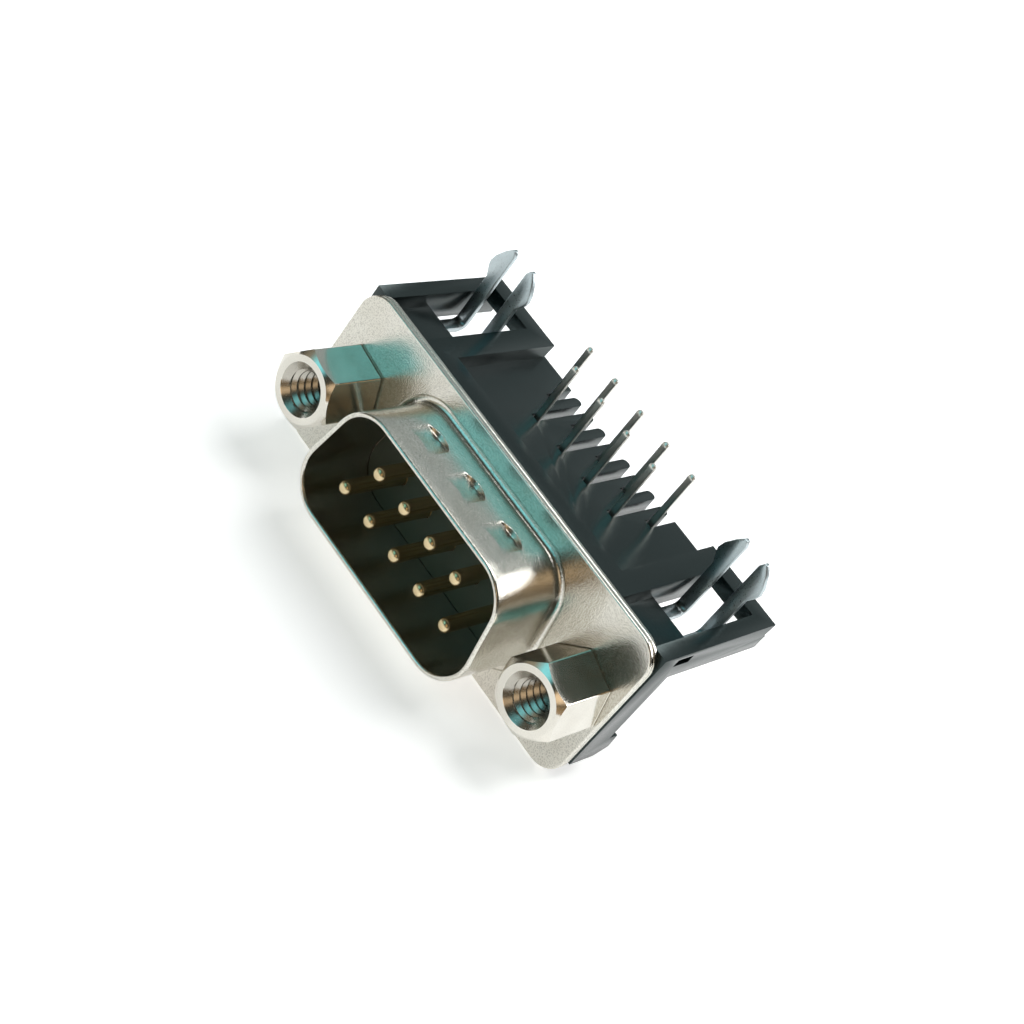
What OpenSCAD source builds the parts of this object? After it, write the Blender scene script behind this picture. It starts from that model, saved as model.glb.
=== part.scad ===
// Nine-contact D-subminiature plug, right angle, for fixing to a circuit board.
// X runs along the connector, the mating side faces -Y and +Z points up off the board.
// Z = 0 is the board's surface and Y = 0 is the rear face of the metal flange.

/* [Board] */
// Height of the connector's axis above the board
axis_height = 5.9; // [5.6:0.1:7]
// Diameter of the board holes that the boardlocks snap into
board_hole = 3.2; // [3:0.05:3.4]

/* [Contacts] */
// Spacing of the contacts within a row
contact_pitch = 2.77; // [2.6:0.01:3]
// Spacing of the two rows
row_pitch = 2.84; // [2.6:0.02:3]
// Diameter of the mating pins
pin_diameter = 1; // [0.9:0.02:1.1]
// Distance from the shell's rim back to the tips of the pins
pin_recess = 0.5; // [0.3:0.1:1.5]
// Width of the solder tails
tail_width = 0.46; // [0.4:0.02:0.5]
// Thickness of the solder tails
tail_thickness = 0.34; // [0.28:0.02:0.4]
// Length of the solder tails below the board's surface
tail_length = 3.5; // [2.5:0.1:4.5]
// Distance of the front row of tails from the flange
front_tails = 6.95; // [6.6:0.05:7.2]
// Distance between the two rows of tails
tail_rows = 2.84; // [2.54:0.02:3]

/* [Shell] */
// Distance from the outermost pins to the short sides of the D opening
opening_margin = 2.92; // [2.8:0.02:3.2]
// Distance from each row of pins to the long side of the D opening
opening_rise = 2.76; // [2.7:0.02:3]
// Corner radius of the D opening
opening_corner = 2.6; // [2:0.1:2.8]
// Slope of the short sides of the D
side_slope = 10; // [6:1:12]
// Thickness of each of the two metal sheets
sheet = 0.35; // [0.25:0.05:0.45]
// Length of the shell in front of the flange
shell_depth = 5.85; // [5.4:0.05:6.4]
// Radius where the shell turns into the flange
root_radius = 0.8; // [0.4:0.1:1]
// Depth of the earthing dimples
dimple_depth = 0.34; // [0.15:0.01:0.4]
// Height of the flange beyond the D opening, at the top and at the bottom
flange_rim = 2.07; // [1.8:0.01:2.4]
// Distance from each jackscrew's axis to the end of the flange
flange_end = 2.905; // [2.6:0.005:3.4]
// Corner radius of the flange
flange_corner = 1.9; // [1:0.1:2.4]

/* [Jackscrews] */
// Distance from each end of the D opening to the jackscrew's axis
screw_offset = 4.035; // [3.9:0.005:4.4]
// Size of the hexagon across its flats
hex_size = 4.8; // [4.5:0.05:5.2]
// Length of the hexagon in front of the flange
hex_length = 4.7; // [4:0.1:5.4]
// Outer diameter of the screw thread
thread_diameter = 2.84; // [2.6:0.02:3]
// Depth of the tapped hole
tapped_depth = 4.2; // [3.6:0.1:4.2]

/* [Bracket] */
// Distance that the bracket stands out beyond each end of the flange
bracket_overhang = 0.1; // [0:0.05:0.5]
// Thickness of the bracket's wall
wall = 2.4; // [2.2:0.1:2.8]
// Height of the ledges on the back of the wall
ledge_height = 1.9; // [1.6:0.1:2.4]
// Thickness of the bracket's arms
arm_thickness = 2.3; // [2:0.1:2.6]
// Width of each arm between its window and the comb
arm_inner_leg = 1.75; // [1.4:0.05:2]
// Height of the middle plate above the board
plate_lift = 1.15; // [0.8:0.05:1.3]
// Thickness of the bar behind each boardlock window
rear_bar = 1.4; // [1:0.05:2]

/* [Boardlocks] */
// Thickness of the boardlock strip
strip = 0.4; // [0.3:0.05:0.5]
// Distance of the prongs from the flange
prong_distance = 8.05; // [7.6:0.05:8.6]
// Gap between the two prongs
prong_gap = 1.4; // [1.2:0.1:1.6]
// Length of the prongs below the board's surface
prong_length = 4.6; // [4.2:0.1:5]
// Width of the upright tab behind the wall
tab_width = 4.6; // [4.3:0.1:5]
// Height of the upright tab above the connector's axis
tab_rise = 2.3; // [2.1:0.1:2.8]

/* [Hidden] */

$fn = 32;
corner_steps = 8;
clearance = 0.04;
over = 1;

// the D opening grows with the contacts, and the screws and the flange follow it
upper_row = 5;
lower_row = 4;
opening_width = (upper_row - 1) * contact_pitch + 2 * opening_margin;
opening_height = row_pitch + 2 * opening_rise;
screw_x = opening_width / 2 + screw_offset;
flange_width = 2 * (screw_x + flange_end);
flange_height = opening_height + 2 * flange_rim;

// stations along Y
flange_front = -2 * sheet;
rim = flange_front - shell_depth;
insulator_face = flange_front + sheet * 0.3;
strip_depth = wall * 0.875;
insulator_split = strip_depth / 2;
skirt_end = strip_depth;
lip_front = skirt_end - sheet;
boss_end = wall;
pin_tip = rim + pin_recess;
shank_end = wall + pin_diameter * 0.3;

// growth of the D outline from the opening, layer by layer
collar_grow = sheet;
skirt_inside = collar_grow + clearance;
skirt_outside = skirt_inside + sheet;
bracket_opening = skirt_outside + clearance;

// earthing dimples
shell_low = axis_height - opening_height / 2 - sheet;
dimple_ball = 1.7;
dimple_spacing = 3.93;
dimple_edge = flange_front - 1.8;
dimple_offset = 0.5;

// bracket
bracket_width = flange_width + 2 * bracket_overhang;
window_width = board_hole + 0.5;
window_side = screw_x - window_width / 2;
window_far = screw_x + window_width / 2;
window_start = prong_distance - 3.3;
window_end = prong_distance + 2.6;
bracket_depth = window_end + rear_bar;
arm_inside = window_side - arm_inner_leg;
ledge_low = axis_height + tab_rise + 0.4;
ledge_depth = 1;
ledge_inside = screw_x - tab_width / 2 - 0.3;
bracket_height = ledge_low + ledge_height;
mark_depth = 0.4;
slot_width = tail_width + 0.16;
comb_teeth = upper_row + lower_row - 1;
tooth_pitch = contact_pitch / 2;
tooth_width = tooth_pitch - slot_width;
stud_hole = thread_diameter / 2 + 0.2;

// jackscrews
stud_radius = thread_diameter / 2 - 0.03;
tapped_radius = thread_diameter * 0.4;
mouth_radius = hex_size * 0.375;
ring_radius = hex_size * 0.48;
mouth_depth = mouth_radius - tapped_radius;
hex_turn = [-44, -53];

// boardlocks
neck = board_hole / 2;
barb = neck + 0.45;
bend = strip;
split_start = window_start + 0.4;
collar_radius = thread_diameter / 2 + 0.55;
collar_length = 1.2;

// contacts
leg_bend = 0.5;

// points of an arc round a centre
function arc(centre, radius, from, to, steps = corner_steps) =
    [for (i = [0:steps]) let (a = from + (to - from) * i / steps) centre + radius * [cos(a), sin(a)]];

// outline of the D, grown by a given amount
function d_outline(grow) =
    let (
        r = opening_corner + grow,
        top = opening_height / 2 - opening_corner,
        wide = opening_width / 2 - opening_corner,
        narrow = wide - 2 * top * tan(side_slope)
    )
    concat(
        arc([wide, top], r, -side_slope, 90),
        arc([-wide, top], r, 90, 180 + side_slope),
        arc([-narrow, -top], r, 180 + side_slope, 270),
        arc([narrow, -top], r, 270, 360 - side_slope)
    );

// outline of the flange
function flange_outline() =
    let (x = flange_width / 2 - flange_corner, z = flange_height / 2 - flange_corner)
    concat(
        arc([x, z], flange_corner, 0, 90),
        arc([-x, z], flange_corner, 90, 180),
        arc([-x, -z], flange_corner, 180, 270),
        arc([x, -z], flange_corner, 270, 360)
    );

// extrudes an outline drawn as seen from the front, between two stations along Y
module slab(from, to) {
    translate([0, to, axis_height])
        rotate([90, 0, 0])
            linear_extrude(height = to - from)
                children();
}

// a D-shaped block
module d_block(from, to, grow) {
    slab(from, to) polygon(d_outline(grow));
}

// a D-shaped skin through rings given as [station, growth]
module d_loft(rings) {
    count = len(d_outline(0));
    points = [for (ring = rings, p = d_outline(ring[1])) [p[0], ring[0], p[1] + axis_height]];
    sides = [for (k = [0:len(rings) - 2], i = [0:count - 1])
        let (j = (i + 1) % count)
        [k * count + i, k * count + j, (k + 1) * count + j, (k + 1) * count + i]];
    front_cap = [for (i = [count - 1:-1:0]) i];
    back_cap = [for (i = [0:count - 1]) (len(rings) - 1) * count + i];
    polyhedron(points, concat(sides, [front_cap, back_cap]));
}

// a box between two opposite corners
module block(from, to) {
    translate(from) cube(to - from);
}

// a box repeated on both sides of the middle
module both_sides() {
    children();
    mirror([1, 0, 0]) children();
}

// a round rod along Y, pointing back
module rod(x, z, from, to, radius) {
    translate([x, to, z]) rotate([90, 0, 0]) cylinder(h = to - from, r = radius);
}

// clearance holes for the studs of both jackscrews
module stud_holes(from, to, radius) {
    both_sides() rod(screw_x, axis_height, from, to, radius);
}

// outer skin of the front shell, from the rounded rim to the fillet at the flange
function skirt_rings() =
    concat(
        [[rim, sheet * 0.5], [rim + sheet * 0.2, sheet * 0.85], [rim + sheet * 0.5, sheet]],
        [for (a = [0:15:90])
            [flange_front + root_radius * (sin(a) - 1), sheet + root_radius * (1 - cos(a))]],
        [[flange_front + sheet / 2, sheet + root_radius]]
    );

// three half-moon dimples in the board side of the shell: balls cut off square on the flange's side
module dimples(grow, low) {
    for (k = [-1:1])
        translate([k * dimple_spacing, dimple_edge, shell_low])
            intersection() {
                translate([0, -dimple_offset, dimple_depth - dimple_ball])
                    sphere(r = dimple_ball + grow, $fn = 48);
                block([-2, -2, low], [2, grow, 2]);
            }
}

module front_shell() {
    color("silver")
    difference() {
        union() {
            difference() {
                union() {
                    slab(flange_front, -sheet) polygon(flange_outline());
                    d_loft(skirt_rings());
                }
                d_block(rim - over, over, 0);
            }
            dimples(sheet, sheet / 2);
        }
        dimples(0, -over);
        stud_holes(flange_front - over, over, stud_hole);
    }
}

module rear_shell() {
    color("gainsboro")
    difference() {
        union() {
            slab(-sheet, 0) polygon(flange_outline());
            d_block(-sheet, skirt_end, skirt_outside);
        }
        d_block(-sheet - over, lip_front, skirt_inside);
        d_block(-over, wall + over, 0);
        stud_holes(-sheet - over, over, stud_hole);
    }
}

// places of the contacts: five in the upper row, then four in the lower row
function is_upper(n) = n <= upper_row;
function contact_x(n) = contact_pitch
    * (is_upper(n) ? n - (upper_row + 1) / 2 : n - upper_row - (lower_row + 1) / 2);
function contact_z(n) = axis_height + (is_upper(n) ? row_pitch : -row_pitch) / 2;
function tail_y(n) = is_upper(n) ? front_tails + tail_rows : front_tails;

module contact_bores() {
    for (n = [1:upper_row + lower_row])
        rod(contact_x(n), contact_z(n), insulator_face - over, boss_end + over, pin_diameter / 2 + clearance);
}

module insulator_front() {
    color("#161719")
    difference() {
        union() {
            d_block(insulator_face, 0, -clearance);
            d_block(-sheet, insulator_split, collar_grow);
        }
        contact_bores();
    }
}

module insulator_rear() {
    color("#1d1f21")
    difference() {
        union() {
            d_block(insulator_split, lip_front, collar_grow);
            d_block(insulator_split, boss_end, -clearance);
        }
        contact_bores();
    }
}

// outline of one comb tooth with a round end, pointing back
function tooth_outline(x) =
    let (end = bracket_depth - tooth_width / 2)
    concat(
        [[x + tooth_width / 2, wall]],
        arc([x, end], tooth_width / 2, 0, 180),
        [[x - tooth_width / 2, wall]]
    );

// middle plate: solid in front and at the sides, a comb where the tails pass
module comb_plate() {
    comb_half = comb_teeth / 2 * tooth_pitch + slot_width / 2;
    deep_end = front_tails - slot_width * 0.7;
    shallow_end = deep_end + tail_rows;
    translate([0, 0, plate_lift])
        linear_extrude(height = arm_thickness - plate_lift) {
            difference() {
                translate([-bracket_width / 2, wall]) square([bracket_width, bracket_depth - wall]);
                translate([-comb_half, deep_end]) square([2 * comb_half, bracket_depth]);
            }
            for (k = [0:comb_teeth - 1])
                polygon(tooth_outline((k - (comb_teeth - 1) / 2) * tooth_pitch));
            for (n = [1:upper_row])
                translate([contact_x(n) - tooth_pitch / 2, deep_end - 0.5])
                    square([tooth_pitch, shallow_end - deep_end + 0.5]);
        }
}

// side arm: foot on the board, with its outer skirt cut back at the rear
module arm() {
    rotate([90, 0, 90])
        translate([0, 0, arm_inside])
            linear_extrude(height = bracket_width / 2 - arm_inside)
                polygon([[0, 0], [bracket_depth, 0], [bracket_depth - 0.25, plate_lift],
                    [bracket_depth - 0.5, arm_thickness], [0, arm_thickness]]);
}

// ledge on the back of the wall near its top, above the boardlock's tab
module ledge() {
    rotate([90, 0, 90])
        translate([0, 0, ledge_inside])
            linear_extrude(height = bracket_width / 2 - ledge_inside)
                polygon([[wall - over, ledge_low], [wall + ledge_depth - 0.2, ledge_low],
                    [wall + ledge_depth, bracket_height - 0.65], [wall, bracket_height],
                    [wall - over, bracket_height]]);
}

// upright wall behind the flange, with a pocket for the shell and a hole for each stud
module upright() {
    difference() {
        union() {
            block([-bracket_width / 2, 0, plate_lift], [bracket_width / 2, wall, bracket_height]);
            block([-bracket_width / 2, 0, 0], [bracket_width / 2, strip_depth, plate_lift + over]);
            both_sides() ledge();
        }
        d_block(-over, strip_depth, bracket_opening);
        d_block(-over, wall + over, clearance);
        stud_holes(-over, wall + over, stud_hole);
    }
}

module bracket() {
    above = arm_thickness + over;
    color("#1a1b1e")
    difference() {
        union() {
            upright();
            comb_plate();
            both_sides() arm();
        }
        both_sides() {
            // channel from the flange to the window, the window, and the open top behind it
            block([window_side, -over, -over], [window_far, window_start + over, plate_lift]);
            block([window_side, window_start, -over], [window_far, window_end, above]);
            block([window_side, window_start, plate_lift], [window_far, bracket_depth + over, above]);
            // shallow mark on the outer side
            block([bracket_width / 2 - mark_depth, 1.7, 0.4], [bracket_width / 2 + over, 3.3, 1.05]);
        }
    }
}

// side view of a bent leg: back from the insulator, round the bend and down through the board
function leg_side(n) =
    let (
        z = contact_z(n),
        y = tail_y(n),
        half = tail_thickness / 2,
        centre = [y + half - leg_bend - tail_thickness, z + half - leg_bend - tail_thickness]
    )
    concat(
        [[insulator_split, z - half]],
        arc(centre, leg_bend, 90, 0, 6),
        [[y - half, -tail_length + 0.5], [y - half * 0.4, -tail_length], [y + half * 0.4, -tail_length],
            [y + half, -tail_length + 0.5]],
        arc(centre, leg_bend + tail_thickness, 0, 90, 6),
        [[insulator_split, z + half]]
    );

// front view of a leg, with its pointed end
function leg_front(n) =
    let (x = contact_x(n), half = tail_width / 2)
    [[x - half, contact_z(n) + over], [x - half, -tail_length + 0.5], [x - half * 0.4, -tail_length],
        [x + half * 0.4, -tail_length], [x + half, -tail_length + 0.5], [x + half, contact_z(n) + over]];

module contact(n) {
    round_end = pin_diameter * 0.4;
    nose = concat([[0, 0]], arc([pin_diameter / 2 - round_end, round_end], round_end, -90, 0, 5));
    color("goldenrod")
    translate([contact_x(n), pin_tip, contact_z(n)])
        rotate([-90, 0, 0])
            rotate_extrude()
                polygon(concat(nose, [[pin_diameter / 2, shank_end - pin_tip], [0, shank_end - pin_tip]]));
    color("lightgray")
    intersection() {
        rotate([90, 0, 90])
            translate([0, 0, contact_x(n) - tail_width])
                linear_extrude(height = 2 * tail_width)
                    polygon(leg_side(n));
        translate([0, tail_y(n) + over, 0])
            rotate([90, 0, 0])
                linear_extrude(height = tail_y(n) + over)
                    polygon(leg_front(n));
    }
}

module jackscrew(side) {
    corner = hex_size / sqrt(3);
    outside = corner + 0.1;
    stud_length = -flange_front + wall + strip + collar_length + 0.3;
    turn = side < 0 ? hex_turn[0] : hex_turn[1];
    color("lightgray")
    translate([side * screw_x, flange_front - hex_length, axis_height])
        rotate([-90, 0, 0])
            difference() {
                union() {
                    intersection() {
                        rotate([0, 0, turn]) cylinder(h = hex_length, r = corner, $fn = 6);
                        rotate_extrude()
                            polygon([[0, 0], [ring_radius, 0], [outside, (outside - ring_radius) * 0.8],
                                [outside, hex_length], [0, hex_length]]);
                    }
                    cylinder(h = hex_length + stud_length, r = stud_radius);
                }
                translate([0, 0, -over]) cylinder(h = tapped_depth + over, r = tapped_radius);
                rotate_extrude()
                    polygon([[0, -over], [mouth_radius, -over], [mouth_radius, 0],
                        [tapped_radius, mouth_depth], [0, mouth_depth]]);
            }
}

// side view of the boardlock strip: upright tab, strip over the arm and prongs down through the window
function strip_side() =
    let (low = arm_thickness, high = arm_thickness + strip, back = prong_distance + strip)
    concat(
        [[wall, axis_height + tab_rise]],
        arc([wall + strip + bend, high + bend], strip + bend, 180, 270, 6),
        arc([prong_distance - bend, low - bend], bend, 90, 0, 6),
        [[prong_distance, -prong_length], [back, -prong_length]],
        arc([prong_distance - bend, low - bend], strip + bend, 0, 90, 6),
        arc([wall + strip + bend, high + bend], bend, 270, 180, 6),
        [[wall + strip, axis_height + tab_rise]]
    );

// front view of one prong, from the split out to the barb
function prong_front() =
    [[prong_gap / 2, arm_thickness + over], [prong_gap / 2, -prong_length + 0.4],
        [prong_gap / 2 + 0.2, -prong_length], [neck - 0.5, -prong_length], [neck - 0.1, -prong_length + 0.5],
        [barb - 0.12, -prong_length * 0.72], [barb, -prong_length * 0.6], [barb - 0.08, -prong_length * 0.53],
        [neck, -1.75], [neck, arm_thickness + over]];

module boardlock(side) {
    color("lightgray")
    translate([side * screw_x, 0, 0])
        difference() {
            union() {
                intersection() {
                    rotate([90, 0, 90])
                        translate([0, 0, -tab_width])
                            linear_extrude(height = 2 * tab_width)
                                polygon(strip_side());
                    union() {
                        block([-neck, wall - over, arm_thickness - over],
                            [neck, prong_distance + strip + over, axis_height + tab_rise]);
                        both_sides()
                            translate([0, prong_distance + strip + over, 0])
                                rotate([90, 0, 0])
                                    linear_extrude(height = strip + 2 * over)
                                        polygon(prong_front());
                        block([-tab_width / 2, wall - over, arm_thickness + strip + bend],
                            [tab_width / 2, wall + strip, axis_height + tab_rise]);
                    }
                }
                rod(0, axis_height, wall + strip / 2, wall + strip + collar_length, collar_radius);
            }
            block([-prong_gap / 2, split_start, -prong_length - over],
                [prong_gap / 2, prong_distance + strip + over, arm_thickness + strip + over]);
            rod(0, axis_height, wall - over, wall + strip + collar_length + over, thread_diameter / 2);
        }
}

front_shell();
rear_shell();
insulator_front();
insulator_rear();
bracket();
contact(1);  // contact_1
contact(2);  // contact_2
contact(3);  // contact_3
contact(4);  // contact_4
contact(5);  // contact_5
contact(6);  // contact_6
contact(7);  // contact_7
contact(8);  // contact_8
contact(9);  // contact_9
jackscrew(-1);  // jackscrew_left
jackscrew(1);  // jackscrew_right
boardlock(-1);  // boardlock_left
boardlock(1);  // boardlock_right
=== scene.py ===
# %% [markdown]
# # A right-angle D-sub plug, dressed for close viewing
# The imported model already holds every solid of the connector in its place. This script gives each
# of them the small radii, the threads, the drawn dimples and the plated or moulded finish that the
# eye expects at this size. All places are in millimetres in the connector's own frame: X along the
# connector, -Y out of the mating side, +Z up off the board, and Z = 0 on the board's surface.
# Blender works in metres, so each length is multiplied by MM where it enters a mesh or a node.

# %% Load the frame
import math

import bmesh
import bpy
from mathutils import Matrix, Vector


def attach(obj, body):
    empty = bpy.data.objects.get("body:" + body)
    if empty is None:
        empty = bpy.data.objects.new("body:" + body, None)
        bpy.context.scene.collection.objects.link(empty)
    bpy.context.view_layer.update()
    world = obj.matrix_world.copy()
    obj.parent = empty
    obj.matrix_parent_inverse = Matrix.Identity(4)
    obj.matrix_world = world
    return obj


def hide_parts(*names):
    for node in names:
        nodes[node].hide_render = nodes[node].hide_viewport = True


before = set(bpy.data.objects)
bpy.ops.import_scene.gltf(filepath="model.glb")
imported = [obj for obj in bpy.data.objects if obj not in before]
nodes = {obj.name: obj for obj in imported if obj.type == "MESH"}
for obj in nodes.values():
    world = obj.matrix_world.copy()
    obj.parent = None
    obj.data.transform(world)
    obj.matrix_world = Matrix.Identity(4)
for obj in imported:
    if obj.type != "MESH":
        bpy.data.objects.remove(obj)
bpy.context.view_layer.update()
MM = 0.001
print("solids in the frame:", len(nodes))

# %% [markdown]
# ## Camera
# The connector lies upside down on a table, so the camera looks at it from the board's side, a
# little from the mating side. It stands about 12 cm away with a field of about 29 degrees, which
# gives a close perspective. Blender wants a place and an orientation. A tracking constraint could
# give them, but this camera is also rolled, so its own forward and upward directions are plainer.

# %% Camera
EYE = Vector((-43.46, -94.33, -66.5))
FORWARD = Vector((0.3364, 0.7605, 0.5554)).normalized()
UPWARD = Vector((0.7521, 0.138, -0.6445)).normalized()
FOCAL_LENGTH = 70.68
SENSOR_WIDTH = 36
NEAREST = 1

lens = bpy.data.cameras.new("camera")
lens.sensor_width = SENSOR_WIDTH
lens.lens = FOCAL_LENGTH
lens.clip_start = NEAREST * MM
camera = bpy.data.objects.new("camera", lens)
bpy.context.scene.collection.objects.link(camera)
rightward = FORWARD.cross(UPWARD).normalized()
upward = rightward.cross(FORWARD)
turn = Matrix((rightward, upward, -FORWARD)).transposed()
camera.matrix_world = Matrix.Translation(EYE * MM) @ turn.to_4x4()
bpy.context.scene.camera = camera
print("field of view:", round(math.degrees(lens.angle), 2), "degrees")

# %% [markdown]
# ## Materials: two helpers
# Colours are written as sRGB hex, as a maker's colour card gives them, and one function turns them
# to the linear numbers that the renderer works in. One more function adds a node with its settings
# and its links, so that each material below reads as a short recipe. A setting is looked for among
# the node's sockets first and among its properties second.

# %% Helpers for materials
def colour(code):
    channels = [int(code[i:i + 2], 16) / 255 for i in (1, 3, 5)]
    return [c / 12.92 if c <= 0.04045 else ((c + 0.055) / 1.055) ** 2.4 for c in channels] + [1]


def add_node(tree, kind, links=None, **settings):
    node = tree.nodes.new(kind)
    for key, value in settings.items():
        if key in node.inputs:
            node.inputs[key].default_value = value
        else:
            setattr(node, key, value)
    for key, source in (links or {}).items():
        tree.links.new(source, node.inputs[key])
    return node


def new_material(name):
    material = bpy.data.materials.new(name)
    material.use_nodes = True
    material.node_tree.nodes.clear()
    return material, material.node_tree


print("mid grey in linear light:", round(colour("#808080")[0], 3))

# %% [markdown]
# ## Satin nickel on drawn steel
# The two shell halves are pressed from steel strip and barrel-plated with nickel, a slightly warm
# grey metal. The press leaves a fine orange-peel grain of about 0.09 mm, which breaks reflections
# into a sandy sparkle, and drawing leaves broad soft waves of a few millimetres. Image textures
# could carry both, but noise in object space has no seams and takes its scale straight from these
# sizes. A painted shade darkens the grain's hollows, and the grain spreads the roughness a little,
# because a bump alone gets lost where a reflection is even. The turned jackscrews, the dull inside
# of their tapped holes, whose darker tones are a painted shade in the hole, and the tinned
# boardlocks are made by the same recipe with other numbers: smoother where a tool has cut, cooler
# where the plating is tin.

# %% Satin nickel
GRAIN = 0.09
WAVE = 3.0
SHEEN_SPREAD = 0.08
# the darker tone of the painted shade in the grain's hollows
PAINTED_SHADE_TONE = "#B8B4AE"
PAINTED_SHADE_SPAN = (0.36, 0.52)
TONE_SPAN = (0.3, 0.7)


def satin_nickel(name, tone, rough, grain_height, wave_height, painted_shade_share):
    material, tree = new_material(name)
    place = add_node(tree, "ShaderNodeTexCoord").outputs["Object"]
    grain = add_node(tree, "ShaderNodeTexNoise", {"Vector": place},
                     Scale=1 / (GRAIN * MM), Detail=3.0)
    wave = add_node(tree, "ShaderNodeTexNoise", {"Vector": place},
                    Scale=1 / (WAVE * MM), Detail=2.0)
    tint = add_node(tree, "ShaderNodeValToRGB", {"Fac": wave.outputs["Fac"]})
    for i in (0, 1):
        tint.color_ramp.elements[i].color = colour(tone[i])
        tint.color_ramp.elements[i].position = TONE_SPAN[i]
    sheen = add_node(tree, "ShaderNodeMapRange", {"Value": grain.outputs["Fac"]},
                     **{"To Min": rough - SHEEN_SPREAD, "To Max": rough + SHEEN_SPREAD})
    # The grain's low points get a darker tone: a painted shade in its hollows.
    painted_shade = add_node(tree, "ShaderNodeValToRGB", {"Fac": grain.outputs["Fac"]})
    painted_shade.color_ramp.elements[0].color = colour(PAINTED_SHADE_TONE)
    for i in (0, 1):
        painted_shade.color_ramp.elements[i].position = PAINTED_SHADE_SPAN[i]
    # The waves' two tones are multiplied by that painted shade.
    tone_and_painted_shade = add_node(tree, "ShaderNodeMix", {6: tint.outputs["Color"], 7: painted_shade.outputs["Color"]},
                       data_type="RGBA", blend_type="MULTIPLY")
    tone_and_painted_shade.inputs["Factor"].default_value = painted_shade_share
    waves = add_node(tree, "ShaderNodeBump", {"Height": wave.outputs["Fac"]},
                     Strength=1.0, Distance=wave_height * MM)
    bumps = add_node(tree, "ShaderNodeBump",
                     {"Height": grain.outputs["Fac"], "Normal": waves.outputs["Normal"]},
                     Strength=1.0, Distance=grain_height * MM)
    shader = add_node(tree, "ShaderNodeBsdfPrincipled",
                      {"Base Color": tone_and_painted_shade.outputs[2], "Roughness": sheen.outputs["Result"],
                       "Normal": bumps.outputs["Normal"]}, Metallic=1.0)
    add_node(tree, "ShaderNodeOutputMaterial", {"Surface": shader.outputs["BSDF"]})
    return material


# name, two tones, roughness, grain height in mm, wave height in mm, share of painted shade in the
# grain's hollows
SHELL_NICKEL = satin_nickel("satin_nickel_on_drawn_steel", ("#D0CCC2", "#DAD7CF"),
                            0.21, 0.010, 0.045, 0.5)
TURNED_NICKEL = satin_nickel("bright_nickel_on_turned_brass", ("#CFCAC0", "#DAD6CD"),
                             0.13, 0.001, 0.008, 0.12)
BRIGHT_TIN = satin_nickel("bright_tin_on_phosphor_bronze", ("#ACB7BB", "#B9C2C5"),
                          0.3, 0.002, 0.03, 0.2)
# The thread's tones are darker than the turned body's: a painted shade inside the hole, beside a
# duller finish.
SHADED_TAPPED_NICKEL = satin_nickel("dull_nickel_painted_darker_in_tapped_brass", ("#A8A39A", "#BDB9B0"),
                             0.24, 0.002, 0.006, 0.2)
print("nickel finishes made, grain", GRAIN, "mm")

# %% [markdown]
# ## Glossy black moulding
# The bracket and the insulator are injection-moulded from glass-filled polyester (PBT). The
# bracket's skin copies a polished mould, so it is black and glossy, with a faint flow ripple of
# 1.6 mm and a slight dullness where the glass fibres, drawn here 0.15 mm wide so that they show,
# lie near the skin. The insulator comes from a duller mould and looks greenish black. One recipe
# makes both, with the tone, the roughness and the tint of the shine as its numbers.

# %% Black polyester
FLOW_RIPPLE = 1.6
RIPPLE_HEIGHT = 0.03
FIBRE_WIDTH = 0.15
FIBRE_HEIGHT = 0.002
POLYESTER_IOR = 1.57


def black_moulding(name, tone, rough, shine):
    material, tree = new_material(name)
    place = add_node(tree, "ShaderNodeTexCoord").outputs["Object"]
    flow = add_node(tree, "ShaderNodeTexNoise", {"Vector": place},
                    Scale=1 / (FLOW_RIPPLE * MM), Detail=3.0)
    fibre = add_node(tree, "ShaderNodeTexNoise", {"Vector": place},
                     Scale=1 / (FIBRE_WIDTH * MM), Detail=2.0)
    dull = add_node(tree, "ShaderNodeMapRange", {"Value": fibre.outputs["Fac"]},
                    **{"To Min": rough - 0.03, "To Max": rough + 0.04})
    ripple = add_node(tree, "ShaderNodeBump", {"Height": flow.outputs["Fac"]},
                      Strength=0.35, Distance=RIPPLE_HEIGHT * MM)
    skin = add_node(tree, "ShaderNodeBump",
                    {"Height": fibre.outputs["Fac"], "Normal": ripple.outputs["Normal"]},
                    Strength=0.3, Distance=FIBRE_HEIGHT * MM)
    shader = add_node(tree, "ShaderNodeBsdfPrincipled",
                      {"Roughness": dull.outputs["Result"], "Normal": skin.outputs["Normal"]},
                      **{"Base Color": colour(tone), "IOR": POLYESTER_IOR,
                         "Specular IOR Level": 0.4, "Specular Tint": colour(shine)})
    add_node(tree, "ShaderNodeOutputMaterial", {"Surface": shader.outputs["BSDF"]})
    return material


BRACKET_BLACK = black_moulding("black_moulded_polyester", "#060E0F", 0.24, "#DCF6F4")
INSULATOR_BLACK = black_moulding("black_insulator_polyester", "#3C463A", 0.5, "#FFFFFF")
print("black mouldings made, flow ripple", FLOW_RIPPLE, "mm")

# %% [markdown]
# ## Gold flash and tin on one contact
# A contact is one brass wire, plated with a thin flash of gold where it mates and with bright tin
# where it is soldered. Two materials on two sets of faces would do, but the plating line lies
# inside the insulator, so one material with a switch on the Y coordinate is simpler and hides the
# line there. Small uneven spots about 0.2 mm wide break up the highlights, as on drawn wire.

# %% Contact plating
PLATING_LINE = 1.2
SPOT_WIDTH = 0.2
SPOT_HEIGHT = 0.006
GOLD_FLASH = "#CDBA94"
SOLDER_TIN = "#DEDCD6"


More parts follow.
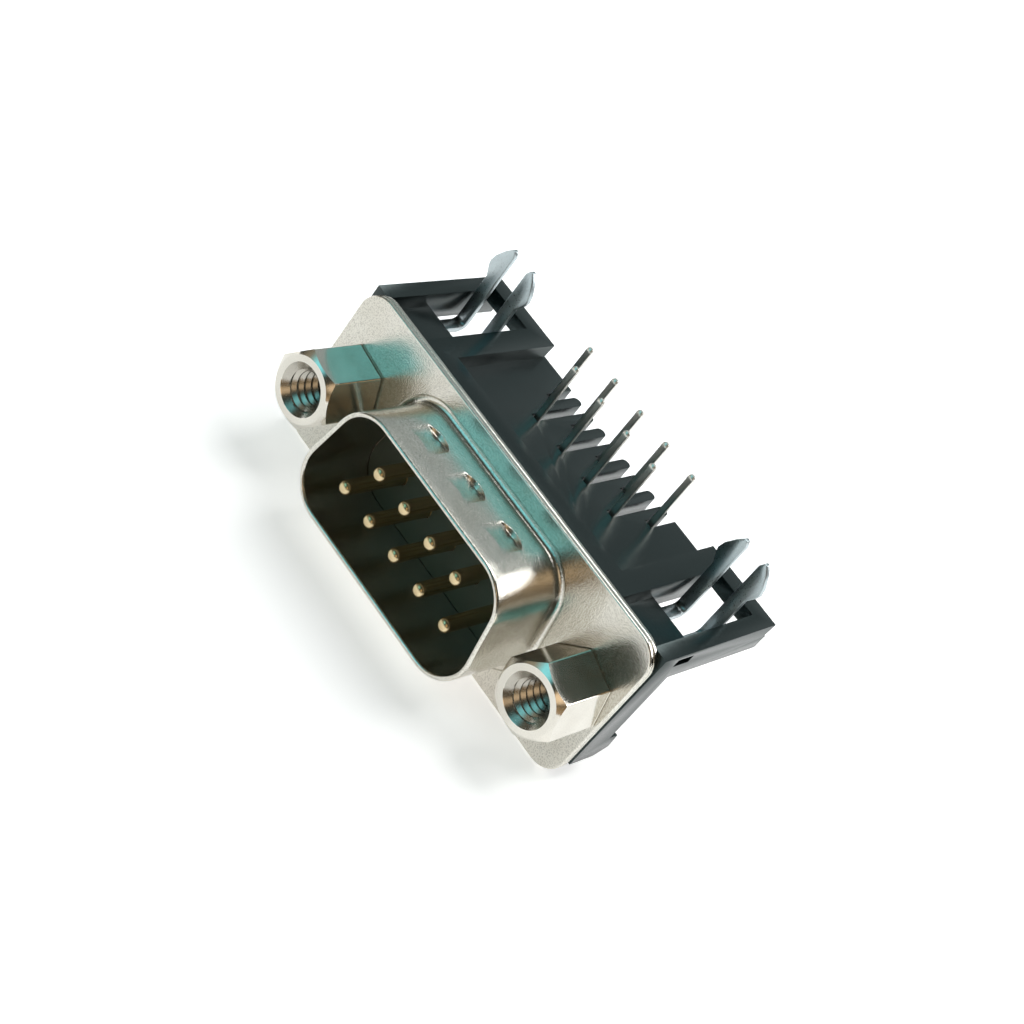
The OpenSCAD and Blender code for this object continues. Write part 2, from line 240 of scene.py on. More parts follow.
def contact_plating():
    material, tree = new_material("gold_and_tin_on_brass")
    place = add_node(tree, "ShaderNodeTexCoord").outputs["Object"]
    along = add_node(tree, "ShaderNodeSeparateXYZ", {"Vector": place})
    is_tail = add_node(tree, "ShaderNodeMath", {0: along.outputs["Y"]}, operation="GREATER_THAN")
    is_tail.inputs[1].default_value = PLATING_LINE * MM
    tone = add_node(tree, "ShaderNodeMix", {"Factor": is_tail.outputs["Value"]}, data_type="RGBA")
    tone.inputs[6].default_value = colour(GOLD_FLASH)
    tone.inputs[7].default_value = colour(SOLDER_TIN)
    gloss = add_node(tree, "ShaderNodeMapRange", {"Value": is_tail.outputs["Value"]},
                     **{"To Min": 0.27, "To Max": 0.32})
    spots = add_node(tree, "ShaderNodeTexNoise", {"Vector": place},
                     Scale=1 / (SPOT_WIDTH * MM), Detail=3.0)
    bump = add_node(tree, "ShaderNodeBump", {"Height": spots.outputs["Fac"]},
                    Strength=0.5, Distance=SPOT_HEIGHT * MM)
    shader = add_node(tree, "ShaderNodeBsdfPrincipled",
                      {"Base Color": tone.outputs[2], "Roughness": gloss.outputs["Result"],
                       "Normal": bump.outputs["Normal"]}, Metallic=1.0)
    add_node(tree, "ShaderNodeOutputMaterial", {"Surface": shader.outputs["BSDF"]})
    return material


CONTACT_METAL = contact_plating()
print("plating changes at y =", PLATING_LINE, "mm")

# %% [markdown]
# ## Mesh helpers
# Every own piece below is built from loops of points: a loop is placed, the next loop is placed,
# and quads join the two, much as a potter stacks rings. Flat faces with holes are filled between
# their outlines. Primitives and booleans could make the same shapes, but loops put each edge where
# the light needs it and leave no stray faces.

# %% Helpers for meshes
SEAM = 0.0008


def add_loop(bm, points):
    return [bm.verts.new(Vector(p) * MM) for p in points]


def join_loops(bm, loops):
    for low, high in zip(loops, loops[1:]):
        for i in range(len(low)):
            j = (i + 1) % len(low)
            bm.faces.new((low[i], low[j], high[j], high[i]))


def fill_between(bm, *loops):
    edges = []
    for loop in loops:
        for i, a in enumerate(loop):
            b = loop[(i + 1) % len(loop)]
            edges.append(bm.edges.get((a, b)) or bm.edges.new((a, b)))
    bmesh.ops.triangle_fill(bm, use_beauty=True, edges=edges)


def finish_piece(bm, name, materials, slot, *stands_for, crease=38):
    bmesh.ops.remove_doubles(bm, verts=bm.verts, dist=SEAM * MM)
    bmesh.ops.recalc_face_normals(bm, faces=bm.faces)
    mesh = bpy.data.meshes.new(name)
    bm.to_mesh(mesh)
    bm.free()
    for material in materials:
        mesh.materials.append(material)
    mesh.shade_smooth()
    mesh.set_sharp_from_angle(angle=math.radians(crease))
    piece = bpy.data.objects.new(name, mesh)
    bpy.context.scene.collection.objects.link(piece)
    even = piece.modifiers.new("even_normals", "WEIGHTED_NORMAL")
    even.keep_sharp = True
    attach(piece, "root")
    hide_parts(*stands_for)
    print(name, "faces:", len(mesh.polygons))


print("points closer than", SEAM, "mm are welded")

# %% [markdown]
# ## The D and the flange as outlines
# The mating face is a D: four arcs of one radius joined by straight sides, with the two short
# sides sloping by 10 degrees so that a plug can't be pushed in upside down. A curve object with a
# profile could sweep the wall, but plain lists of points can be divided finely on one side only,
# which the dimples need. Growing the arcs' radius moves the whole outline out by the sheet's
# thickness. The flange is a plain rounded rectangle.

# %% Outlines
AXIS_Z = 5.9
OPENING = (16.92, 8.36)
CORNER = 2.6
SLOPE = 10
SHEET = 0.35
SCREW_X = 12.495
FLANGE = (30.8, 12.5)
FLANGE_CORNER = 1.9
FLANGE_CORNER_STEPS = 10
STUD_HOLE = 1.62


def arc_points(centre, radius, start, end, steps):
    angles = [math.radians(start + (end - start) * i / steps) for i in range(steps + 1)]
    return [(centre[0] + radius * math.cos(a), centre[1] + radius * math.sin(a)) for a in angles]


def split_line(a, b, parts):
    return [(a[0] + (b[0] - a[0]) * i / parts, a[1] + (b[1] - a[1]) * i / parts)
            for i in range(1, parts)]


def d_outline(grow, corner_steps, board_side_parts):
    rise = OPENING[1] / 2 - CORNER
    wide = OPENING[0] / 2 - CORNER
    narrow = wide - 2 * rise * math.tan(math.radians(SLOPE))
    arcs = [arc_points((wide, rise), CORNER + grow, -SLOPE, 90, corner_steps),
            arc_points((-wide, rise), CORNER + grow, 90, 180 + SLOPE, corner_steps),
            arc_points((-narrow, -rise), CORNER + grow, 180 + SLOPE, 270, corner_steps),
            arc_points((narrow, -rise), CORNER + grow, 270, 360 - SLOPE, corner_steps)]
    board_side = split_line(arcs[2][-1], arcs[3][0], board_side_parts)
    return arcs[0] + arcs[1] + arcs[2] + board_side + arcs[3]


def flange_outline(inset):
    r = FLANGE_CORNER - inset
    x, z = FLANGE[0] / 2 - FLANGE_CORNER, FLANGE[1] / 2 - FLANGE_CORNER
    return (arc_points((x, z), r, 0, 90, FLANGE_CORNER_STEPS)
            + arc_points((-x, z), r, 90, 180, FLANGE_CORNER_STEPS)
            + arc_points((-x, -z), r, 180, 270, FLANGE_CORNER_STEPS)
            + arc_points((x, -z), r, 270, 360, FLANGE_CORNER_STEPS))


def circle(centre, radius, steps=40):
    return arc_points(centre, radius, 0, 360 * (steps - 1) / steps, steps - 1)


def at_depth(outline, y):
    return [(x, y, z + AXIS_Z) for x, z in outline]


print("points round the flange:", len(flange_outline(0)))

# %% [markdown]
# ## Dimples in the front shell
# Three half-moon dimples on the board's side of the skirt are pressed inwards and grip the mating
# shell, which earths it. Each is a scoop: deepest at a steep, slightly curved wall near the
# flange, and rising gently towards the rim and to both sides. A sculpted or boolean dent would
# need cleaning up, so a plain function gives the depth at each place, and the rings of the shell
# follow it.

# %% Dimple depth
DIMPLE_PITCH = 3.93
DIMPLE_EDGE = -2.5
DIMPLE_HALF = 1.15
DIMPLE_REACH = 1.9
DIMPLE_WALL = 0.11
DIMPLE_DEPTH = 0.32
DIMPLE_CURVE = 0.45
DIMPLE_FALL = 0.9


def dimple_depth(x, y):
    deepest = 0.0
    for centre in (-DIMPLE_PITCH, 0, DIMPLE_PITCH):
        across = (x - centre) / DIMPLE_HALF
        if abs(across) < 1:
            behind = DIMPLE_EDGE - DIMPLE_CURVE * across ** 2 - y
            slope = min(1.0, max(0.0, behind / DIMPLE_REACH))
            step = min(1.0, max(0.0, (behind + DIMPLE_WALL) / DIMPLE_WALL))
            step = step ** 2 * (3 - 2 * step)
            scoop = (1 - slope) ** DIMPLE_FALL * (1 - across ** 2)
            deepest = max(deepest, DIMPLE_DEPTH * scoop * step)
    return deepest


print("dimple depth just behind its wall:", round(dimple_depth(0, DIMPLE_EDGE), 2), "mm")

# %% [markdown]
# ## Front shell
# The shell is one sheet of steel, drawn into a D-shaped cup with a flange. Its section runs from
# the inside, where a narrow seat nearly closes the gap round the insulator, round the bright rim,
# back along the outside and through a fillet into the flange, with the shallow groove that the
# drawing die leaves at the fillet's foot. A solid with a bevel would round every edge alike, so
# each ring of the section is placed by its own depth and growth. The rings are close together only
# where the dimples are. A last ring lies flat beside each rounded edge and keeps its soft shading
# off the wide flange.

# %% Front shell sizes
FLANGE_FRONT = -2 * SHEET
RIM = -6.55
RIM_START = -5.6
INSIDE_START = -1.2
ROOT_RADIUS = 0.45
EDGE_RADIUS = 0.1
GROOVE_DEPTH = 0.06
GROOVE_MIDDLE = 0.04
GROOVE_END = 0.12
FLAT_GUARD = 0.05
SEAT = -0.525
SEAT_GRIP = 0.03
SKIRT_CORNER_STEPS = 16
BOARD_SIDE_PARTS = 150
FINE_STEP = 0.025
FINE_RINGS = 34
WIDE_STEP = 0.1
WIDE_RINGS = 18
LEVEL = 0.011  # how far from the board side's line a point still counts as lying on it


def skirt_ring(y, grow):
    ring = []
    for x, z in d_outline(grow, SKIRT_CORNER_STEPS, BOARD_SIDE_PARTS):
        on_board_side = z < LEVEL - OPENING[1] / 2 - grow
        push = dimple_depth(x, y) if on_board_side else 0.0
        ring.append((x, y, z + AXIS_Z + push))
    return ring


def skirt_section():
    fine = [DIMPLE_EDGE + ahead for ahead in (0.4, 0.2, 0.15)]
    fine += [DIMPLE_EDGE + 0.12 - FINE_STEP * i for i in range(FINE_RINGS)]
    fine += [DIMPLE_EDGE - 0.76 - WIDE_STEP * i for i in range(WIDE_RINGS)]
    seat = [(-SHEET, -SEAT_GRIP), (SEAT, -SEAT_GRIP), (SEAT - 0.001, 0.0)]
    inside = seat + [(y, 0.0) for y in [INSIDE_START] + fine + [RIM_START]]
    half = SHEET / 2
    rim = [(RIM + half - half * math.sin(a), half - half * math.cos(a))
           for a in [math.radians(d) for d in range(0, 181, 20)]]
    outside = [(y, SHEET) for y in [RIM_START] + fine[::-1]]
    foot = SHEET + ROOT_RADIUS
    root = [(FLANGE_FRONT + ROOT_RADIUS * (math.sin(a) - 1), foot - ROOT_RADIUS * math.cos(a))
            for a in [math.radians(d) for d in range(0, 91, 10)]]
    groove = [(FLANGE_FRONT + GROOVE_DEPTH, foot + GROOVE_MIDDLE),
              (FLANGE_FRONT, foot + GROOVE_END), (FLANGE_FRONT, foot + GROOVE_END + FLAT_GUARD)]
    return inside + rim + outside + root + groove


print("rings in the skirt's section:", len(skirt_section()))

# %% Front shell mesh
def flange_section():
    quarter = [math.radians(d) for d in (0, 22.5, 45, 67.5, 90)]
    front = [(EDGE_RADIUS * (1 - math.sin(a)), FLANGE_FRONT + EDGE_RADIUS * (1 - math.cos(a)))
             for a in quarter]
    back = [(EDGE_RADIUS * (1 - math.cos(a)), -SHEET - EDGE_RADIUS * (1 - math.sin(a)))
            for a in quarter]
    guard = EDGE_RADIUS + FLAT_GUARD
    return [(guard, FLANGE_FRONT)] + front + back + [(guard, -SHEET)]


def front_shell():
    bm = bmesh.new()
    rings = [add_loop(bm, skirt_ring(y, grow)) for y, grow in skirt_section()]
    join_loops(bm, rings)
    edge = [add_loop(bm, at_depth(flange_outline(inset), y)) for inset, y in flange_section()]
    join_loops(bm, edge)
    holes = [[add_loop(bm, at_depth(circle((side * SCREW_X, 0), STUD_HOLE), y))
              for y in (FLANGE_FRONT, -SHEET)] for side in (-1, 1)]
    for hole in holes:
        join_loops(bm, hole)
    fill_between(bm, rings[-1], edge[0], holes[0][0], holes[1][0])
    fill_between(bm, rings[0], edge[-1], holes[0][1], holes[1][1])
    finish_piece(bm, "front_shell_drawn", [SHELL_NICKEL], "front_shell", "front_shell", crease=24)


front_shell()

# %% [markdown]
# ## Jackscrews: the hexagonal body
# A jackscrew is a hexagonal post turned from bar. Its front corners are turned away to a cone,
# which leaves a round bright land and the typical curved edges on each flat, and a small burr
# stands where it meets the flange. A six-sided cylinder with a boolean cone is the usual way, but
# the curved edges come out ragged. Here each ring follows the hexagon's outline with its rounded
# corners, and the cone pulls the rings in by how far each point reaches out.

# %% Jackscrew sizes
HEX_FLATS = 4.8
HEX_LENGTH = 4.7
LAND_RADIUS = 2.3
LAND_CHAMFER = 0.03
CONE_SLOPE = 0.8
HEX_FRONT = FLANGE_FRONT - HEX_LENGTH
HEX_TURN = {-1: 16, 1: 7}
EDGE_ROUND = 0.14
BASE_ROUND = 0.12
BURR = 0.025
LAND_INSET = 0.04
STUD_RADIUS = 1.39
STUD_END = 4.3
STUD_CHAMFER = 0.25


def hexagon():
    """Angle and distance from the axis of each point on a hexagon with rounded corners."""
    points = []
    middle = (HEX_FLATS / 2 - EDGE_ROUND) / math.cos(math.radians(30))
    for corner in range(0, 360, 60):
        for step in range(-30, 31, 10):
            along = math.radians(step)
            x, y = middle + EDGE_ROUND * math.cos(along), EDGE_ROUND * math.sin(along)
            points.append((math.radians(corner) + math.atan2(y, x), math.hypot(x, y)))
        for step in range(-11, 12, 2):
            across = math.tan(math.radians(30)) * step / 12.5
            reach = HEX_FLATS / 2 * math.hypot(1, across)
            points.append((math.radians(corner + 30) + math.atan(across), reach))
    return points


print("points round the hexagon:", len(hexagon()))

# %% Hexagonal body
def screw_point(side, angle, radius, y):
    turned = angle + math.radians(HEX_TURN[side])
    return (side * SCREW_X + radius * math.cos(turned), y, AXIS_Z - radius * math.sin(turned))


def cone(hex_reach, share):
    reach = LAND_RADIUS + (hex_reach - LAND_RADIUS) * share
    return reach, HEX_FRONT + LAND_CHAMFER + (reach - LAND_RADIUS) * CONE_SLOPE


def hexagonal_body(bm, side):
    """Builds the body and the stud, and returns the inner edge of the front land."""
    section = [
        lambda reach: (LAND_RADIUS - LAND_INSET, HEX_FRONT),
        lambda reach: (LAND_RADIUS, HEX_FRONT + LAND_CHAMFER),
        lambda reach: cone(reach, 0.5),
        lambda reach: cone(reach, 1.0),
        lambda reach: (reach, FLANGE_FRONT - BASE_ROUND - 0.06),
        lambda reach: (reach + BURR, FLANGE_FRONT - BASE_ROUND - 0.02),
        lambda reach: (reach, FLANGE_FRONT - BASE_ROUND + 0.03),
        lambda reach: (reach - BASE_ROUND, FLANGE_FRONT),
        lambda reach: (STUD_RADIUS, FLANGE_FRONT),
        lambda reach: (STUD_RADIUS, STUD_END - STUD_CHAMFER),
        lambda reach: (STUD_RADIUS - STUD_CHAMFER, STUD_END),
    ]
    rings = []
    for radius_and_depth in section:
        rings.append(add_loop(bm, [screw_point(side, angle, *radius_and_depth(reach))
                                   for angle, reach in hexagon()]))
    join_loops(bm, rings)
    bm.faces.new(rings[-1])
    return rings[0]


print("hexagon turned by", HEX_TURN, "degrees")

# %% [markdown]
# ## Jackscrews: the tapped hole
# The hole is countersunk and tapped for a 4-40 thread of 0.635 mm pitch. A screw modifier could
# wind a profile, but its start and end stay open. Here a V-shaped profile is wound round the hole
# as one long strip, so its crests run as true helices. Its ends are pushed flat against the mouth
# and the bottom, and the countersink's cone cuts the first turns. The thread gets the duller
# finish, because plating builds up unevenly in a small hole, and darker tones, which are a
# painted shade inside the hole.

# %% Tapped hole
MOUTH_RADIUS = 1.8
THREAD_PITCH = 0.635
THREAD_MAJOR = 1.44
THREAD_MINOR = 1.137
TAPPED_DEPTH = 4.2
DRILL_TIP = 0.4
TIP_FLAT = 0.1
CREST_FLAT = 0.1
TURN_STEPS = 180
PROFILE_STEPS = 12
MOUTH_START = HEX_FRONT + LAND_CHAMFER
THREAD_START = HEX_FRONT - THREAD_PITCH
DEEPEST = HEX_FRONT + TAPPED_DEPTH


def thread_radius(phase):
    slope = abs(phase % 1 - 0.5) * 2
    share = min(1.0, max(0.0, (slope - CREST_FLAT) / (1 - 2 * CREST_FLAT)))
    return THREAD_MINOR + (THREAD_MAJOR - THREAD_MINOR) * share


def bore_radius(i, y):
    phase = (y - THREAD_START) / THREAD_PITCH - i / TURN_STEPS
    countersink = MOUTH_RADIUS - LAND_CHAMFER - (y - MOUTH_START)
    return max(thread_radius(phase), countersink)


def tapped_hole(bm, side, land):
    def hole_point(i, radius, y):
        angle = 2 * math.pi * (i % TURN_STEPS) / TURN_STEPS
        return screw_point(side, angle, radius, y)

    def wall_point(i, k):
        y = THREAD_START + THREAD_PITCH * (i / TURN_STEPS + k / PROFILE_STEPS)
        y = min(max(y, MOUTH_START), DEEPEST)
        return hole_point(i, bore_radius(i, y), y)

    around = range(TURN_STEPS)
    mouth = [add_loop(bm, [hole_point(i, r, y) for i in around])
             for r, y in ((MOUTH_RADIUS - LAND_CHAMFER, MOUTH_START), (MOUTH_RADIUS, HEX_FRONT))]
    join_loops(bm, mouth)
    fill_between(bm, mouth[1], land)
    steps = (int((TAPPED_DEPTH + THREAD_PITCH) / THREAD_PITCH) + 1) * TURN_STEPS
    strip = {}
    for i in range(steps + 1):
        for k in range(PROFILE_STEPS + 1):
            strip[i, k] = bm.verts.new(Vector(wall_point(i, k)) * MM)
    for i in range(steps):
        for k in range(PROFILE_STEPS):
            corners = (strip[i, k], strip[i, k + 1], strip[i + 1, k + 1], strip[i + 1, k])
            bm.faces.new(corners).material_index = 1
    bottom = [add_loop(bm, [hole_point(i, bore_radius(i, DEEPEST), DEEPEST) for i in around]),
              add_loop(bm, [hole_point(i, TIP_FLAT, DEEPEST + DRILL_TIP) for i in around])]
    join_loops(bm, bottom)
    bm.faces.new(bottom[-1])


for side, name in ((-1, "jackscrew_left"), (1, "jackscrew_right")):
    bm = bmesh.new()
    tapped_hole(bm, side, hexagonal_body(bm, side))
    finish_piece(bm, name + "_turned", [TURNED_NICKEL, SHADED_TAPPED_NICKEL], "jackscrews", name,
                 crease=20)

# %% [markdown]
# ## Contacts
# Each contact is a round wire of 1 mm with a rounded tip. A low shoulder nearly fills its hole in
# the insulator, so no light shows past it. Behind the insulator the wire is flat and bends down
# into a rectangular tail with a blunt, slightly swollen tip. A curve with a bevel could make the
# leg, but not the round pin as well. So a lathe profile makes the pin, and a small chamfered
# rectangle pushed along the bend makes the leg. One loop makes all nine, because only their X
# place and the two rows differ.

# %% Contact sizes
PITCH_X = 2.77
ROW_GAP = 2.84
PIN_RADIUS = 0.5
PIN_SIDES = 28
PIN_TIP = -6.05
TIP_RADIUS = 0.4
SHANK_END = 2.7
SHOULDER = (-0.6, 0.8)
SHOULDER_RISE = 0.03
TAIL = (0.46, 0.34)
TAIL_CHAMFER = 0.05
TAIL_END = -3.5
TAIL_TIP = ((0.5, 1.0), (0.3, 1.08), (0.12, 1.0), (0, 0.6))
BEND_RADIUS = 0.67
TAIL_ROWS = {5: 9.79, 4: 6.95}


def pin_profile():
    flat = PIN_RADIUS - TIP_RADIUS
    tip = [(TIP_RADIUS * math.sin(a) + flat, PIN_TIP + TIP_RADIUS - TIP_RADIUS * math.cos(a))
           for a in [math.radians(d) for d in range(0, 91, 15)]]
    wide = PIN_RADIUS + SHOULDER_RISE
    shoulder = [(PIN_RADIUS, SHOULDER[0]), (wide, SHOULDER[0] + SHOULDER_RISE),
                (wide, SHOULDER[1] - SHOULDER_RISE), (PIN_RADIUS, SHOULDER[1])]
    end = [(PIN_RADIUS, SHANK_END - 0.06), (PIN_RADIUS - 0.06, SHANK_END)]
    return [(0.02, PIN_TIP)] + tip + shoulder + end


def tail_section(scale):
    a, b = TAIL[0] / 2 * scale, TAIL[1] / 2 * scale
    c = TAIL_CHAMFER * scale
    return [(a, b - c), (a - c, b), (c - a, b), (-a, b - c),
            (-a, c - b), (c - a, -b), (a - c, -b), (a, c - b)]


def leg_path(z, y_tail):
    path = [((SHANK_END - 0.1, z), 0, 1.0)]
    for i in range(9):
        angle = math.radians(90 * i / 8)
        path.append(((y_tail - BEND_RADIUS + BEND_RADIUS * math.sin(angle),
                      z - BEND_RADIUS + BEND_RADIUS * math.cos(angle)), angle, 1.0))
    for above_end, scale in TAIL_TIP:
        path.append(((y_tail, TAIL_END + above_end), math.pi / 2, scale))
    return path


print("rings in a pin:", len(pin_profile()))

# %% Nine contacts
def contact(number, x, z, y_tail):
    bm = bmesh.new()
    rings = [add_loop(bm, [(x + px, y, z + pz) for px, pz in circle((0, 0), r, PIN_SIDES)])
             for r, y in pin_profile()]
    join_loops(bm, rings)
    bm.faces.new(rings[0])
    bm.faces.new(rings[-1])
    leg = []
    for (y, height), angle, scale in leg_path(z, y_tail):
        leg.append(add_loop(bm, [(x + u, y + v * math.sin(angle), height + v * math.cos(angle))
                                 for u, v in tail_section(scale)]))
    join_loops(bm, leg)
    bm.faces.new(leg[0])
    bm.faces.new(leg[-1])
    finish_piece(bm, f"contact_{number}_plated", [CONTACT_METAL], "contacts",
                 f"contact_{number}")


number = 1
for count, side in ((5, 1), (4, -1)):
    for i in range(count):
        contact(number, (i - (count - 1) / 2) * PITCH_X, AXIS_Z + side * ROW_GAP / 2,
                TAIL_ROWS[count])
        number += 1

# %% [markdown]
# ## Mouldings and stampings that keep their solids
# The bracket, the two insulators, the rear shell and the boardlocks already have their true shape.
# What a sharp solid lacks is the small radius that every mould and every press leaves on an edge,
# and which catches a thin line of light. So their coplanar triangles are merged and a narrow bevel
# runs along every sharp edge, with modifiers that leave the solids themselves alone. The
# insulators are full of small holes and show almost no edge, so they get no bevel: their edges are
# only split where they turn sharply, and their shading follows the largest faces.

# %% Round the edges of the kept solids
WELD_DISTANCE = 0.001
FLAT_ANGLE = 1
BEVEL_ANGLE = 32
CRISP_ANGLE = 30


def dress_solid(name, material, radius=None):
    solid = nodes[name]
    solid.data.materials.clear()
    solid.data.materials.append(material)
    weld = solid.modifiers.new("weld", "WELD")
    weld.merge_threshold = WELD_DISTANCE * MM
    if radius:
        merge = solid.modifiers.new("merge_flat_faces", "DECIMATE")
        merge.decimate_type = "DISSOLVE"
        merge.angle_limit = math.radians(FLAT_ANGLE)
        soften = solid.modifiers.new("soften_edges", "BEVEL")
        soften.width = radius * MM
        soften.segments = 2
        soften.limit_method = "ANGLE"
        soften.angle_limit = math.radians(BEVEL_ANGLE)
        soften.harden_normals = True
    else:
        crisp = solid.modifiers.new("crisp_edges", "EDGE_SPLIT")
        crisp.split_angle = math.radians(CRISP_ANGLE)
        even = solid.modifiers.new("even_shading", "WEIGHTED_NORMAL")
        even.mode = "FACE_AREA"
        even.weight = 100
    solid.data.shade_smooth()
    print(name, "edges rounded by", radius or 0, "mm")


dress_solid("bracket", BRACKET_BLACK, 0.1)
dress_solid("insulator_front", INSULATOR_BLACK)
dress_solid("insulator_rear", INSULATOR_BLACK)
dress_solid("rear_shell", SHELL_NICKEL, 0.04)
dress_solid("boardlock_left", BRIGHT_TIN, 0.04)
dress_solid("boardlock_right", BRIGHT_TIN, 0.04)

# %% [markdown]
# ## Table, paper and light
# The connector lies upside down on white paper, which touches the flange's top edge. Seen from
# other sides it stands over a pale floor instead. One large box could hold both, but each of the
# two sheets shows only its front: a ray that meets its back passes through, so one never hides the
# connector from the other side. Near the connector the paper takes its shadow, and from 4 cm out
# it slowly turns to plain white, so no horizon shows.

# %% Paper and floor
TABLE_Z = 12.2
FLOOR_Z = -4.65
SHEET_HALF = 900
HAZE = (40, 150)


def one_sided_paper(name, tone, glow):
    material, tree = new_material(name)
    path = add_node(tree, "ShaderNodeLightPath").outputs
    watched = add_node(tree, "ShaderNodeMath",
                       {0: path["Is Camera Ray"], 1: path["Is Glossy Ray"]}, operation="MAXIMUM")
    place = add_node(tree, "ShaderNodeTexCoord").outputs["Object"]
    away = add_node(tree, "ShaderNodeVectorMath", {0: place}, operation="LENGTH")
    haze = add_node(tree, "ShaderNodeMapRange", {"Value": away.outputs["Value"]},
                    **{"From Min": HAZE[0] * MM, "From Max": HAZE[1] * MM,
                       "To Min": glow, "To Max": 1.0})
    shine = add_node(tree, "ShaderNodeMath",
                     {0: watched.outputs["Value"], 1: haze.outputs["Result"]},
                     operation="MULTIPLY")
    paper = add_node(tree, "ShaderNodeBsdfDiffuse", Color=colour(tone))
    light = add_node(tree, "ShaderNodeEmission", {"Strength": shine.outputs["Value"]},
                     Color=colour("#FFFFFF"))
    lit = add_node(tree, "ShaderNodeAddShader",
                   {0: paper.outputs["BSDF"], 1: light.outputs["Emission"]})
    clear = add_node(tree, "ShaderNodeBsdfTransparent")
    back = add_node(tree, "ShaderNodeNewGeometry").outputs["Backfacing"]
    hidden = add_node(tree, "ShaderNodeMath", {0: back, 1: path["Is Shadow Ray"]},
                      operation="MAXIMUM")
    both = add_node(tree, "ShaderNodeMixShader",
                    {"Fac": hidden.outputs["Value"], 1: lit.outputs["Shader"],
                     2: clear.outputs["BSDF"]})
    add_node(tree, "ShaderNodeOutputMaterial", {"Surface": both.outputs["Shader"]})
    return material


def sheet_of_paper(name, z, facing, material):
    bm = bmesh.new()
    half = SHEET_HALF
    corners = [(-half, -half, z), (half, -half, z), (half, half, z), (-half, half, z)]
    bm.faces.new(add_loop(bm, corners if facing > 0 else corners[::-1]))
    mesh = bpy.data.meshes.new(name)
    bm.to_mesh(mesh)
    bm.free()
    mesh.materials.append(material)
    sheet = bpy.data.objects.new(name, mesh)
    bpy.context.scene.collection.objects.link(sheet)
    return sheet


PAPER = one_sided_paper("white_paper", "#F2F2F2", 0.5)
sheet_of_paper("table_paper", TABLE_Z, -1, PAPER)
floor_paper = sheet_of_paper("floor_paper", FLOOR_Z, 1, PAPER)
floor_paper.visible_glossy = False
floor_paper.visible_diffuse = False
print("paper and floor staged")

# %% [markdown]
# ## Lamps
# Daylight from a window and a ceiling lamp light the board's side, and two lamps light the other
# side. All are large squares, a hand's width or more, because plated metal shows the shape of each
# lamp and a small one would leave hard white spots. Sun lamps would be simpler but cast sharp
# shadows.

# %% Lamps
MIDDLE = (0, 2, 4)
LAMPS = {  # name: place, width of the square, power in watts
    "window_lamp": ((-90, 150, -90), 100, 0.15),
    "ceiling_lamp": ((0, 70, -200), 120, 0.29),
    "upper_lamp": ((-120, -160, 230), 180, 0.4),
    "upper_side_lamp": ((200, 140, 160), 160, 0.2),
}


def lamp(name, place, width, power):
    light = bpy.data.lights.new(name, "AREA")
    light.shape = "RECTANGLE"
    light.size = light.size_y = width * MM
    light.energy = power
    lamp_object = bpy.data.objects.new(name, light)
    bpy.context.scene.collection.objects.link(lamp_object)
    lamp_object.location = Vector(place) * MM
    facing = Vector(MIDDLE) - Vector(place)
    lamp_object.rotation_euler = facing.to_track_quat("-Z", "Y").to_euler()


for name, (place, width, power) in LAMPS.items():
    lamp(name, place, width, power)
print("lamps:", len(LAMPS))

# %% [markdown]
# ## The room that the metal reflects
# Plated metal has hardly any colour of its own: it shows the room round it. An image of a room
# could be wrapped round the world, but a few soft patches on a dark ground are enough and need no
# file. There is a pale wall behind, a cyan one in front, three warm ones to the sides and a grey
# ceiling of light over the upright connector. Each patch is full within its first angle and
# fades out at its second. The camera itself sees plain white instead. Strong patches have a
# price: from other sides they show on other faces, so part of the flange looks orange from the
# front on the +X side.

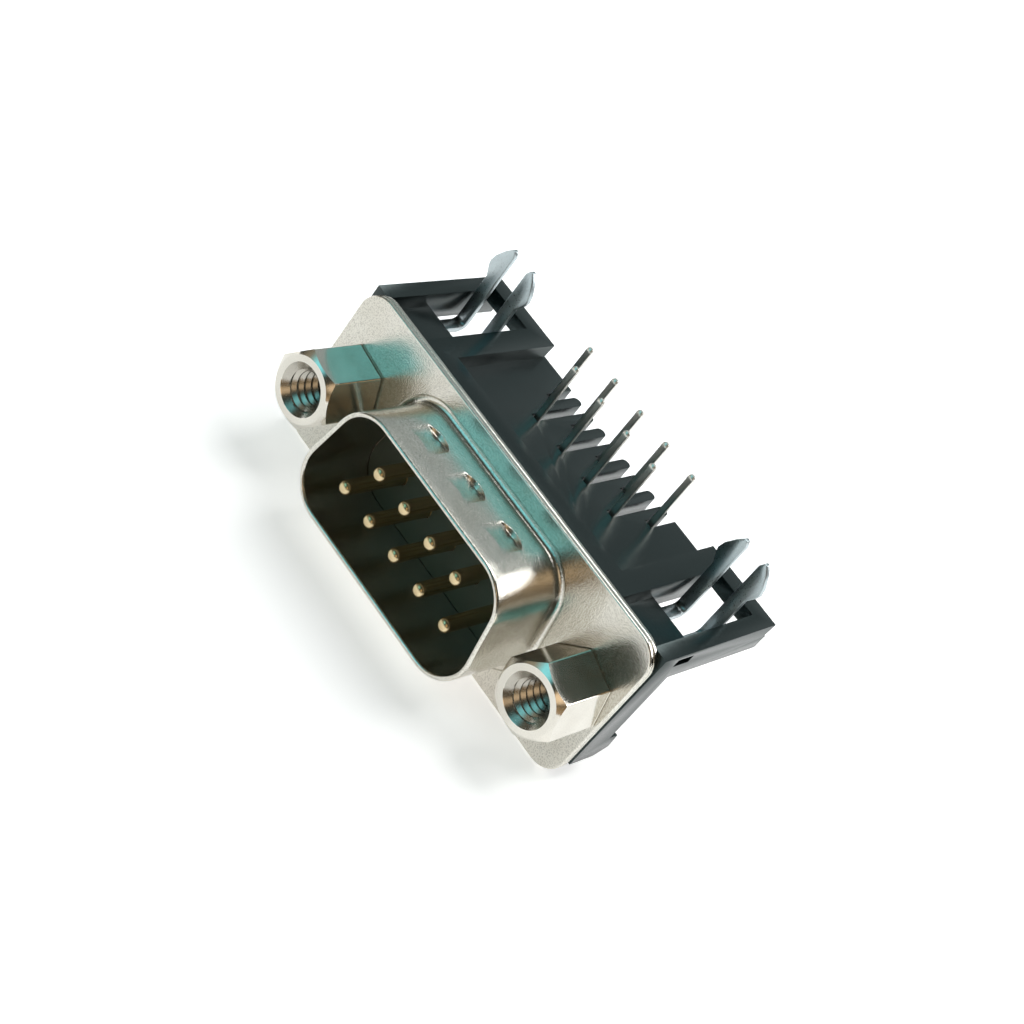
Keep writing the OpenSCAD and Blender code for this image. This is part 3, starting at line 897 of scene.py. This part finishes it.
# %% Room
ROOM_TONE = "#3E3D35"
ROOM_STRENGTH = 1.3
ROOM_PATCHES = [  # tone, direction, degrees within which it is full, degrees where it ends
    ("#939C9C", (0.35, 0.7, -0.62), 20, 60),
    ("#94F3FF", (0.42, -0.8, -0.42), 5, 29),
    ("#A59D8A", (0.68, -0.72, -0.06), 8, 30),
    ("#A58A66", (-0.6, -0.76, 0.15), 8, 28),
    ("#FFE0B8", (-0.48, -0.74, -0.47), 5, 15),
    ("#9A9A97", (0, 0, 1), 40, 90),
]

world = bpy.data.worlds.new("studio")
bpy.context.scene.world = world
world.use_nodes = True
sky = world.node_tree
sky.nodes.clear()
direction = add_node(sky, "ShaderNodeTexCoord").outputs["Generated"]
room = None
for tone, toward, inner, outer in ROOM_PATCHES:
    closeness = add_node(sky, "ShaderNodeVectorMath", {0: direction}, operation="DOT_PRODUCT")
    closeness.inputs[1].default_value = Vector(toward).normalized()
    mask = add_node(sky, "ShaderNodeMapRange", {"Value": closeness.outputs["Value"]},
                    **{"interpolation_type": "SMOOTHSTEP",
                       "From Min": math.cos(math.radians(outer)),
                       "From Max": math.cos(math.radians(inner))})
    blend = add_node(sky, "ShaderNodeMix", {"Factor": mask.outputs["Result"]}, data_type="RGBA")
    if room is None:
        blend.inputs[6].default_value = colour(ROOM_TONE)
    else:
        sky.links.new(room, blend.inputs[6])
    blend.inputs[7].default_value = colour(tone)
    room = blend.outputs[2]
surround = add_node(sky, "ShaderNodeBackground", {"Color": room}, Strength=ROOM_STRENGTH)
backdrop = add_node(sky, "ShaderNodeBackground", Color=colour("#FFFFFF"), Strength=1.0)
seen = add_node(sky, "ShaderNodeLightPath").outputs["Is Camera Ray"]
either = add_node(sky, "ShaderNodeMixShader",
                  {"Fac": seen, 1: surround.outputs["Background"],
                   2: backdrop.outputs["Background"]})
add_node(sky, "ShaderNodeOutputWorld", {"Surface": either.outputs["Shader"]})
bpy.context.scene.view_settings.view_transform = "Standard"
print("patches in the room:", len(ROOM_PATCHES))

# %% [markdown]
# ## Update the scene
# The view layer is updated once more, so that every piece stands in its place.

# %% Update the scene
bpy.context.view_layer.update()
